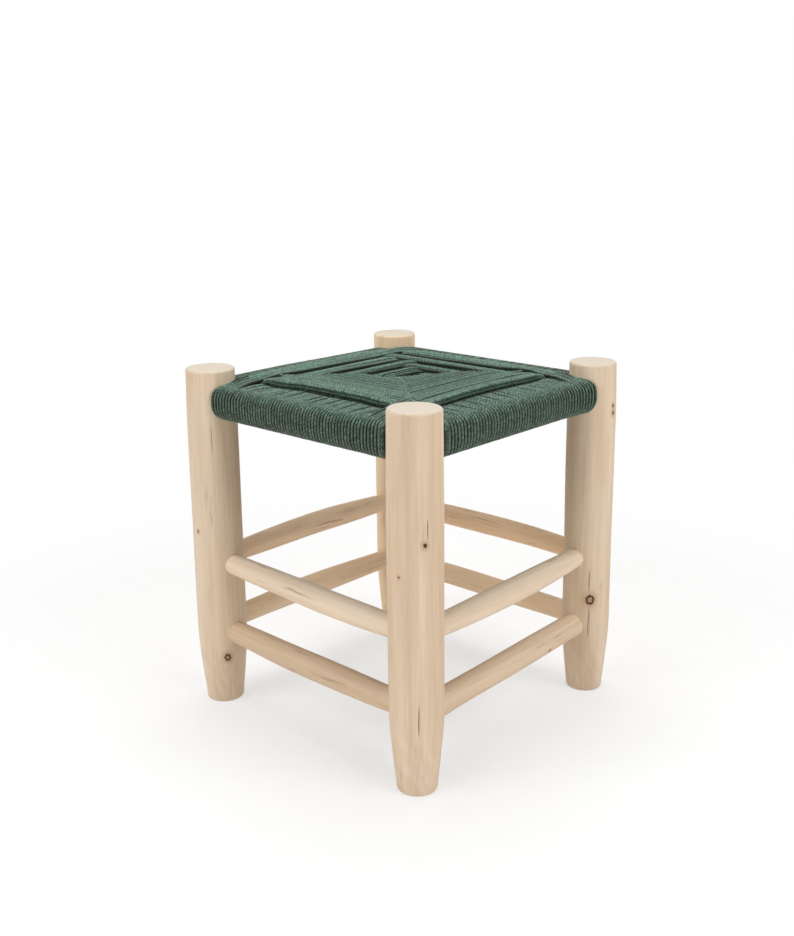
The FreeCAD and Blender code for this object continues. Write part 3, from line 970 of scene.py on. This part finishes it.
def loosened(place, crown, along, height):
    """Lifts a turn along Y over the far left rail, and swells it beside the right leg."""
    rail = SPAN["y"] / 2
    above = np.clip((height - RAIL_Z) / WRAP, 0, 1) ** 2
    height = height + np.interp(place, *zip(*CROWN_LIFT)) * above * smoothstep(*LIFT_START, along)
    rank = crowding("y", crown)
    if rank > 0:
        outward = -along - rail
        higher = SWOLLEN_HEIGHT * rank**2 * smoothstep(*SWOLLEN_HEIGHT_START, outward)
        height = RAIL_Z + (height - RAIL_Z) * (1 + higher)
        further = SWOLLEN * rank**2 / WRAP * smoothstep(*SWOLLEN_START, outward)
        along = -rail + (along + rail) * (1 + further)
    return along, height


def spread_across(run, place, crown, extra, along):
    """Places of a turn's points: even, then crowded at the crown and spread on the rail's outer face."""
    rail, sign = SPAN[run] / 2, 1 if place > 0 else -1
    start = sign * (EDGE + STACKED_OUT) if extra else place
    across = start + (crown - start) * smoothstep(CROWD_START, rail - 2, np.abs(along))
    if abs(place) <= abs(PLACES[run][CROWDED]) - 0.01:
        return across
    outward = np.abs(along) - rail
    fade = np.where(outward > 0, 1.0, 1 - smoothstep(*LEG_FADE, -outward))
    fade = fade * max(crowding(run, abs(crown)), 0.0) ** 1.3
    reach = np.where(outward > 0, outward, np.minimum(-outward, WRAP))
    for end in (-1, 1):
        here = (along > 0) == (end > 0)
        limit = leg_limit(run, sign, end, reach[here])
        moved = across[here] + sign * (limit - leg_limit(run, sign, end, 0.0)) * fade[here]
        across[here] = sign * np.minimum(np.abs(moved), limit)
    return across


def partings(run, index, along, above):
    """Sideways shift of a turn's points where small groups of turns part, and the shade seen in the gaps."""
    place = PLACES[run][index]
    shift, opening = np.zeros(len(along)), np.zeros(len(along))
    # the turn at a far band's inner edge gets painted shade on its side over the step
    if place > 0 and ring_of(run, PLACES[run][index - 1]) != ring_of(run, place):
        opening = (1 - smoothstep(*STEP_END, np.abs(along))) * above
    # small groups part beside the outer ridge and close again towards the crown of the rail
    for end in (-1, 1):
        out = end * along
        closed = CLOSED + CLOSED_VARIES * math.sin(index * 0.9 + 2.0 * end)
        reach = window((PART_OPENS, (PART_CLOSES, closed)), out) * above
        if end < 0 < place:
            reach = reach * (1 - smoothstep(*PART_ENDS, place))
        drift, gaps = PARTS[(run, end)]
        shift = shift + drift[index] * reach
        strength = min(2.0 * gaps[index] / PART_REACH, 1.0) * PART_STRENGTH[run]
        opening = np.maximum(opening, strength * window(PART_SHADE, out) * above)
    # the turns over the left and right corners' crossings stand away from the ones that pass under a ridge
    if place > 0:
        off_seam = place - RING_EDGES[OTHER[run]][1]
        split = SEAM_GAP * math.exp(-((off_seam / SEAM_WIDTH) ** 2)) * (1 if off_seam > 0 else -1)
        reach = window(SEAM_REACH, -along) * above
        shift = shift + split * reach
        opening = np.maximum(opening, SEAM_STRENGTH * max(split, 0.0) * reach)
    elif run == "x":
        field = (1 - smoothstep(*FIELD_END, np.abs(along))) * above
        shift = shift + FIELD_DRIFT[index] * field
        crease = FIELD_CREASE + (FIELD_LINE - FIELD_CREASE) * FIELD_GAPS[index] / FIELD_REACH
        opening = np.maximum(opening, crease * field)
    return shift, opening


def foot_shade(run, place, extra, along, above):
    """Shade where a turn comes out from under a near ridge, or lies beside the left or right leg."""
    ducks = not extra and not is_over(run, place, -EDGE)
    foot = (1 - smoothstep(*FOOT_END, -along)) * (along < -EDGE) * above * ducks
    beside = smoothstep(EDGE - NOTCH_WIDTH, EDGE, place)
    return np.maximum(foot, beside * window(NOTCH, -along) * above)


def turn_path(run, index, extra, rng):
    """Closed path of one turn: along, across, height, distance on the cord, shades of gaps and feet."""
    place, nodes = PLACES[run][index], PLACES[OTHER[run]]
    heights = np.array([level(run, place, a) for a in nodes]) - dips(run, place, nodes)
    if extra:
        heights -= stack_step(nodes)
    crown = crown_place(run, index, extra)
    along, height, distance, share = even_steps(*turn_outline(run, heights))
    if run == "y":
        along, height = loosened(place, crown, along, height)
    above = height > RAIL_Z
    shift, opening = partings(run, index, along, above)
    across = spread_across(run, place, crown, extra, along) + shift
    foot = foot_shade(run, place, extra, along, above)
    if not extra:
        proud = rng.uniform(-UNEVEN, UNEVEN) * (UNEVEN_LEFT if run == "y" and place < 0 else 1.0)
        height = height + proud * above * (1 - smoothstep(*UNEVEN_END, np.abs(along)))
    # a little unevenness, as a hand leaves it
    for _ in range(3):
        rate, phase = rng.integers(2, 9), rng.uniform(0, TAU)
        across = across + rng.uniform(0.03, 0.09) * np.sin(rate * TAU * share + phase)
        height = height + rng.uniform(0.01, 0.04) * np.sin((rate + 3) * TAU * share + phase * 2)
    return along, across, height, distance, opening, foot


# Look of the cord
CORD_COLOURS = ((0.26, linear(49, 81, 65)), (0.50, linear(97, 130, 112)), (0.74, linear(155, 190, 168)))
# Scale of the fibres, slubs and specks along the lay, round it and from cord to cord
FIBRE_SCALE, SLUB_SCALE, SPECK_SCALE = (9.0, 26.0, 40.0), (0.9, 3.0, 31.0), (3.6, 1.6, 23.0)
# How much lighter and darker the cord's specks are
SPECKLE = 0.38
SLUB_COLOUR, DARK_TURN, PATCH_COLOUR = linear(62, 88, 74), linear(76, 104, 84), linear(108, 128, 112)
# Painted shade in the lay's grooves, and on the cord's sides in creases, gaps and at feet
GROOVE_SHADE_COLOUR, SIDE_SHADE_COLOUR = linear(22, 34, 27), linear(9, 14, 10)
# Painted shade, in metres: on the faces of all four rails below a height, on the slopes of the two far sides,
# and in the middle of the seat, each with its tint
FACE, FACE_SHADE = (0.327, 0.338), (0.85, 0.74, 0.68, 1.0)
SLOPE, SLOPE_SHADE = (0.110, 0.124), (0.88, 0.80, 0.77, 1.0)
MIDDLE, MIDDLE_SHADE = (0.118, 0.045), (0.76, 0.80, 0.77, 1.0)


def cord_material():
    """Green laid cord, with painted shade in its creases, on the rails' faces, the far slopes and the seat's
    middle.
    """
    t = Tree("cord_green")
    u, v, _ = t.split(t.new("UVMap", uv_map="lay").outputs["UV"])
    tone = t.attribute("tone")
    place = t.new("TexCoord").outputs["Object"]
    x, y, z = t.split(place)

    def on_cord(around, scale, detail, rough):
        lay = (t.times(item, factor) for item, factor in zip((u, around, tone), scale))
        return t.noise(t.combine(*lay), 1.0, detail, rough)

    fibres = on_cord(t.plus(v, u), FIBRE_SCALE, 3.0, 0.6)
    slubs = on_cord(v, SLUB_SCALE, 3.0, 0.6)
    specks = on_cord(v, SPECK_SCALE, 1.0, 0.5)
    patch = t.noise(place, 28.0, 2.0, 0.5)
    colour = t.ramp(fibres, CORD_COLOURS)
    colour = t.mix(t.span(slubs, 0.35, 0.7, 0.0, 0.40), colour, SLUB_COLOUR)
    colour = t.mix(t.span(tone, 0.0, 1.0, 0.0, 0.30, False), colour, DARK_TURN)
    colour = t.mix(t.span(patch, 0.35, 0.7, 0.0, 0.20), colour, PATCH_COLOUR)
    colour = t.vector("SCALE", colour, scale=t.span(specks, 0.35, 0.65, 1 - SPECKLE, 1 + SPECKLE, False))
    # painted shade on the rails' faces below a height, on the two far slopes and in the middle of the seat
    slope = t.maths("MAXIMUM", t.span(x, *SLOPE), t.span(y, *SLOPE))
    middle = t.span(t.vector("LENGTH", t.combine(x, y, 0.0)), *MIDDLE)
    painted_shades = ((t.span(z, *FACE, 1.0, 0.0), FACE_SHADE), (slope, SLOPE_SHADE), (middle, MIDDLE_SHADE))
    for share, tint in painted_shades:
        colour = t.mix(share, colour, tint, "MULTIPLY")
    # painted shade in the lay's grooves and on the cord's sides in creases, gaps and at feet
    colour = t.mix(t.span(t.attribute("groove_shade"), 0.2, 1.0, 0.0, 0.68), colour, GROOVE_SHADE_COLOUR)
    colour = t.mix(t.span(t.attribute("side_shade"), 0.40, 0.92, 0.0, 0.95), colour, SIDE_SHADE_COLOUR)
    return t.surface(colour, t.span(fibres, 0.3, 0.7, 0.55, 0.78), fibres, 0.5, 0.0004, 0.35, 0.12)


CORD_LOOK = cord_material()
# Section of a cord laid from three strands: (share of a turn, share of the radius, painted shade in a groove)
STRAND = ((0.0, 0.87, 1.0), (0.25, 0.985, 0.15), (0.5, 1.01, 0.0), (0.75, 0.985, 0.15))
SECTION = [((strand + share) / 3, reach, deep) for strand in range(3) for share, reach, deep in STRAND]
# The turns of the soft bands are pressed this much wider, and their creases show this much less
BROAD, CALM = 0.15, 0.5
SOFT_ACROSS, SOFT_END = (10.0, 45.0), (122.0, 106.0)
# The same for the merged turns, the outermost ones of a near ridge
MERGED, MERGED_END, MERGED_CALM, MERGED_CREASE = 4, (118.0, 104.0), 0.25, (100.0, 116.0)
# Shades on a cord's sides, given by how far sideways or outward a point faces: in a gap, at a foot, on the
# lower and upper strand of a near ridge, and on a far ridge
GAP_SHADE, GAP_LIMIT, FOOT_DARK = (-0.1, 0.35), -0.5, 0.97
STACKED_LEAST, STACKED_TOP, STACKED_UNDER, STACKED_TOP_SHARE = 0.54, (0.45, 0.9), (-0.2, -0.7), 0.7
BARE_UNDER = (-0.4, -0.8)


def tube(run, path, phase, size, bare, extra, merged):
    """Vertices, painted side shades and lengths of one laid cord along a closed path.

    bare is the cord's side with no neighbour. A merged cord lies so close that its creases hardly show.
    """
    along, across, height, distance, opening, foot = path
    if run == "x":
        line, side = np.stack([along, across, height], 1), np.array([0.0, 1.0, 0.0])
    else:
        line, side = np.stack([across, along, height], 1), np.array([1.0, 0.0, 0.0])
    ahead = np.roll(line, -1, 0) - np.roll(line, 1, 0)
    ahead /= np.linalg.norm(ahead, axis=1)[:, None]
    lateral = side - ahead * (ahead @ side)[:, None]
    lateral /= np.linalg.norm(lateral, axis=1)[:, None]
    up = np.cross(ahead, lateral)
    length = distance[-1] + np.linalg.norm(line[0] - line[-1])
    twist = phase + TAU * round(length / PITCH) * distance / length
    soft = smoothstep(*SOFT_ACROSS, across) * smoothstep(*SOFT_END, np.abs(along))
    calm, broad = 1 - CALM * soft, 1 + BROAD * soft
    if merged:
        broad = 1 + BROAD * smoothstep(*MERGED_END, np.abs(along))
        calm = np.minimum(calm, 1 - MERGED_CALM + MERGED_CALM * smoothstep(*MERGED_CREASE, np.abs(along)))
    rows, side_shades = [], []
    for share, reach, _ in SECTION:
        sideways, over = np.cos(TAU * share + twist), np.sin(TAU * share + twist)
        offset = (sideways * broad)[:, None] * lateral * CORD_HALF[run] + over[:, None] * up * CORD_RADIUS
        rows.append(line + offset * reach * size)
        outer = over if run == "x" else -over
        # painted shade on the cord's sides, where it meets its neighbours
        side_shade = np.abs(sideways) * np.where(outer > 0, calm, 1.0)
        side_shade = np.maximum(side_shade, opening * smoothstep(*GAP_SHADE, -sideways) * (outer > GAP_LIMIT))
        side_shade = np.maximum(side_shade, FOOT_DARK * foot)
        if extra:
            top, under = smoothstep(*STACKED_TOP, outer), smoothstep(*STACKED_UNDER, outer)
            shaded = np.maximum(STACKED_TOP_SHARE * top, under)
            side_shade = np.where(sideways * bare > 0, STACKED_LEAST + (1 - STACKED_LEAST) * shaded, side_shade)
        elif bare:
            side_shade = np.where(sideways * bare > 0, smoothstep(*BARE_UNDER, outer), side_shade)
        side_shades.append(side_shade)
    return np.stack(rows, 1), np.stack(side_shades, 1), distance, length


def tube_faces(start, distance, length):
    """Faces of a closed tube whose vertices start at this number, and their corners on the lay."""
    rings, sections = len(distance), len(SECTION)
    row = start + np.arange(rings) * sections
    after = start + (np.arange(rings) + 1) % rings * sections
    u0, u1 = distance / PITCH, np.append(distance[1:], length) / PITCH
    quads, corners = [], []
    for k in range(sections):
        n = (k + 1) % sections
        v0, v1 = np.full(rings, SECTION[k][0]), np.full(rings, SECTION[n][0] if n else 1.0)
        quads.append(np.stack([row + k, after + k, after + n, row + n], 1))
        corners.append(np.stack([u0, v0, u1, v0, u1, v1, u0, v1], 1))
    return np.concatenate(quads), np.concatenate(corners)


def cord_mesh(name, points, quads, corners, values):
    """A smooth mesh of four-sided faces with its lay and its vertex values."""
    mesh = bpy.data.meshes.new(name)
    mesh.vertices.add(len(points))
    mesh.vertices.foreach_set("co", (points * MM).astype(np.float32).ravel())
    mesh.loops.add(quads.size)
    mesh.loops.foreach_set("vertex_index", quads.astype(np.int32).ravel())
    mesh.polygons.add(len(quads))
    mesh.polygons.foreach_set("loop_start", np.arange(0, quads.size, 4, dtype=np.int32))
    mesh.polygons.foreach_set("loop_total", np.full(len(quads), 4, dtype=np.int32))
    mesh.update(calc_edges=True)
    mesh.polygons.foreach_set("use_smooth", np.ones(len(quads), dtype=bool))
    mesh.uv_layers.new(name="lay").data.foreach_set("uv", corners.astype(np.float32).ravel())
    for key, items in values.items():
        layer = mesh.attributes.new(key, "FLOAT", "POINT")
        layer.data.foreach_set("value", items.astype(np.float32))
    mesh.update()
    return mesh


def cord_piece(run, sign, ring):
    """All the turns of one band, as one piece that stands for its CAD node."""
    side = SIDE_OF[(run, sign)]
    name = "cord_" + side + "_" + str(ring + 1)
    rng = np.random.default_rng(500 + 10 * list(SIDE_OF).index((run, sign)) + ring)
    points, side_shades, tones, quads, corners = [], [], [], [], []
    start, last = 0, len(PLACES[run]) - 1
    for index, place in enumerate(PLACES[run]):
        if (place > 0) != (sign > 0) or ring_of(run, place) != ring:
            continue
        outermost = index in (0, last)
        bare = sign if outermost else 0
        for extra in (False, True) if outermost and side in RIDGE_GAP else (False,):
            path = turn_path(run, index, extra, rng)
            phase, size = rng.uniform(0, TAU), rng.uniform(0.985, 1.015)
            merged = side in RIDGE_GAP and min(index, last - index) < MERGED
            verts, side_shade, distance, length = tube(run, path, phase, size, bare, extra, merged)
            faces, lay = tube_faces(start, distance, length)
            points.append(verts.reshape(-1, 3))
            side_shades.append(side_shade.ravel())
            tones.append(np.full(side_shade.size, rng.uniform()))
            quads.append(faces)
            corners.append(lay)
            start += side_shade.size
    # painted shade of each vertex: in the lay's grooves, and on the cord's sides
    groove_shade = np.tile([deep for _, _, deep in SECTION], start // len(SECTION))
    values = {"tone": np.concatenate(tones), "side_shade": np.concatenate(side_shades), "groove_shade": groove_shade}
    mesh = cord_mesh(name, np.concatenate(points), np.concatenate(quads), np.concatenate(corners), values)
    thing = bpy.data.objects.new(name, mesh)
    bpy.context.scene.collection.objects.link(thing)
    mesh.materials.append(CORD_LOOK)
    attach(thing, "root")
    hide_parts("cord_band_" + side + "_" + str(ring + 1))


for run, sign in SIDE_OF:
    for ring in range(4):
        cord_piece(run, sign, ring)


# Floor, light and camera, in metres
FLOOR_HALF, FLOOR_CELLS, FLOOR_Z = 12.0, 24, -0.0004
FLOOR_COLOURS = ((0.3, (0.90, 0.893, 0.878, 1.0)), (0.7, (0.93, 0.923, 0.908, 1.0)))
# Share of the floor's own lit colour that the camera sees, and the steady white added to it
FLOOR_SHARE, FLOOR_GLOW = 0.46, 0.555
# Distances from the middle between which the floor fades into the white background
FLOOR_FADE = (0.34, 0.80)
BLACK, WHITE = (0.0, 0.0, 0.0, 1.0), (1.0, 1.0, 1.0, 1.0)
WORLD_COLOUR, WORLD_STRENGTH = (1.0, 0.97, 0.93, 1.0), 0.22
LAMP_AIM = (0.0, 0.0, 0.18)
# Lamps as (place, width and height, power in watts, tint)
LAMPS = {
    "softbox_left": ((-1.55, 0.35, 1.15), (1.1, 1.1), 15.0, (0.975, 1.0, 1.045)),
    "softbox_right": ((0.15, -1.55, 1.15), (1.1, 1.1), 15.2, (0.975, 1.0, 1.045)),
    "softbox_top": ((0.25, 0.25, 1.9), (1.4, 1.4), 22.5, (1.0, 1.0, 1.0)),
}
# The camera, found from the edges of the legs, stretchers and rails. Its focal length and shift are in pixels
PICTURE_HEIGHT, FOCAL_LENGTH, SHIFT = 936.0, 1145.6, (-2.86, -44.35)
SENSOR_WIDTH = 36.0
CAMERA_PLACE = (-0.82301, -0.74699, 0.56599)
CAMERA_FORWARD, CAMERA_RIGHT = (0.71652, 0.65437, -0.24166), (0.67286, -0.73973, -0.00802)


def emission(t, strength):
    node = t.new("Emission")
    node.inputs["Color"].default_value = WHITE
    t.put(node.inputs["Strength"], strength)
    return node.outputs[0]


def floor_material():
    """White floor that keeps the soft shadow near the stool and fades into the background."""
    t = Tree("studio_floor")
    place = t.new("TexCoord").outputs["Object"]
    colour = t.ramp(t.noise(place, 40.0, 3.0, 0.5), FLOOR_COLOURS)
    rays = t.new("LightPath").outputs
    seen = t.maths("MAXIMUM", rays["Is Glossy Ray"], rays["Is Transmission Ray"])
    seen = t.maths("MAXIMUM", rays["Is Camera Ray"], seen)
    diffuse = t.new("BsdfDiffuse")
    t.put(diffuse.inputs["Color"], t.mix(seen, colour, t.mix(1.0 - FLOOR_SHARE, colour, BLACK)))
    near = t.new("AddShader")
    t.put(near.inputs[0], diffuse.outputs[0])
    t.put(near.inputs[1], emission(t, t.times(seen, FLOOR_GLOW)))
    mix = t.new("MixShader")
    t.put(mix.inputs[0], t.times(t.span(t.vector("LENGTH", place), *FLOOR_FADE), seen))
    t.put(mix.inputs[1], near.outputs[0])
    t.put(mix.inputs[2], emission(t, 1.0))
    t.put(t.new("OutputMaterial").inputs[0], mix.outputs[0])
    return t.material


def make_floor():
    ticks = [-FLOOR_HALF + 2 * FLOOR_HALF * i / FLOOR_CELLS for i in range(FLOOR_CELLS + 1)]
    points = [(x, y, FLOOR_Z) for x in ticks for y in ticks]
    faces = []
    for i in range(FLOOR_CELLS):
        for j in range(FLOOR_CELLS):
            a = i * (FLOOR_CELLS + 1) + j
            faces.append((a, a + FLOOR_CELLS + 1, a + FLOOR_CELLS + 2, a + 1))
    new_object("studio_floor", points, faces, floor_material())


def make_world():
    """Soft light from all sides, with a white background for the camera."""
    world = bpy.data.worlds.new("studio")
    bpy.context.scene.world = world
    world.use_nodes = True
    nodes, links = world.node_tree.nodes, world.node_tree.links
    nodes.clear()
    rays = nodes.new("ShaderNodeLightPath")
    seen = nodes.new("ShaderNodeMath")
    seen.operation = "MAXIMUM"
    links.new(rays.outputs["Is Camera Ray"], seen.inputs[0])
    links.new(rays.outputs["Is Transmission Ray"], seen.inputs[1])
    mix = nodes.new("ShaderNodeMixShader")
    links.new(seen.outputs[0], mix.inputs[0])
    for index, (colour, strength) in enumerate(((WORLD_COLOUR, WORLD_STRENGTH), (WHITE, 1.0))):
        light = nodes.new("ShaderNodeBackground")
        light.inputs[0].default_value = colour
        light.inputs[1].default_value = strength
        links.new(light.outputs[0], mix.inputs[index + 1])
    output = nodes.new("ShaderNodeOutputWorld")
    links.new(mix.outputs[0], output.inputs[0])


def make_lamp(name, place, size, power, tint):
    data = bpy.data.lights.new(name, "AREA")
    data.shape = "RECTANGLE"
    data.size, data.size_y = size
    data.energy = power
    data.color = tint
    lamp = bpy.data.objects.new(name, data)
    bpy.context.scene.collection.objects.link(lamp)
    lamp.location = place
    aim = [there - here for there, here in zip(LAMP_AIM, place)]
    lamp.rotation_mode = "QUATERNION"
    lamp.rotation_quaternion = Vector(aim).to_track_quat("-Z", "Y")


def make_camera():
    data = bpy.data.cameras.new("camera")
    camera = bpy.data.objects.new("camera", data)
    bpy.context.scene.collection.objects.link(camera)
    data.sensor_width = SENSOR_WIDTH
    data.lens = FOCAL_LENGTH / PICTURE_HEIGHT * SENSOR_WIDTH
    data.shift_x = SHIFT[0] / PICTURE_HEIGHT
    data.shift_y = SHIFT[1] / PICTURE_HEIGHT
    data.clip_start, data.clip_end = 0.05, 100.0
    forward = Vector(CAMERA_FORWARD).normalized()
    right = Vector(CAMERA_RIGHT)
    right = (right - forward * right.dot(forward)).normalized()
    turn = Matrix((right, right.cross(forward), -forward)).transposed()
    camera.matrix_world = Matrix.Translation(Vector(CAMERA_PLACE)) @ turn.to_4x4()
    bpy.context.scene.camera = camera


make_floor()
make_world()
for name, settings in LAMPS.items():
    make_lamp(name, *settings)
make_camera()
bpy.context.scene.view_settings.view_transform = "Standard"
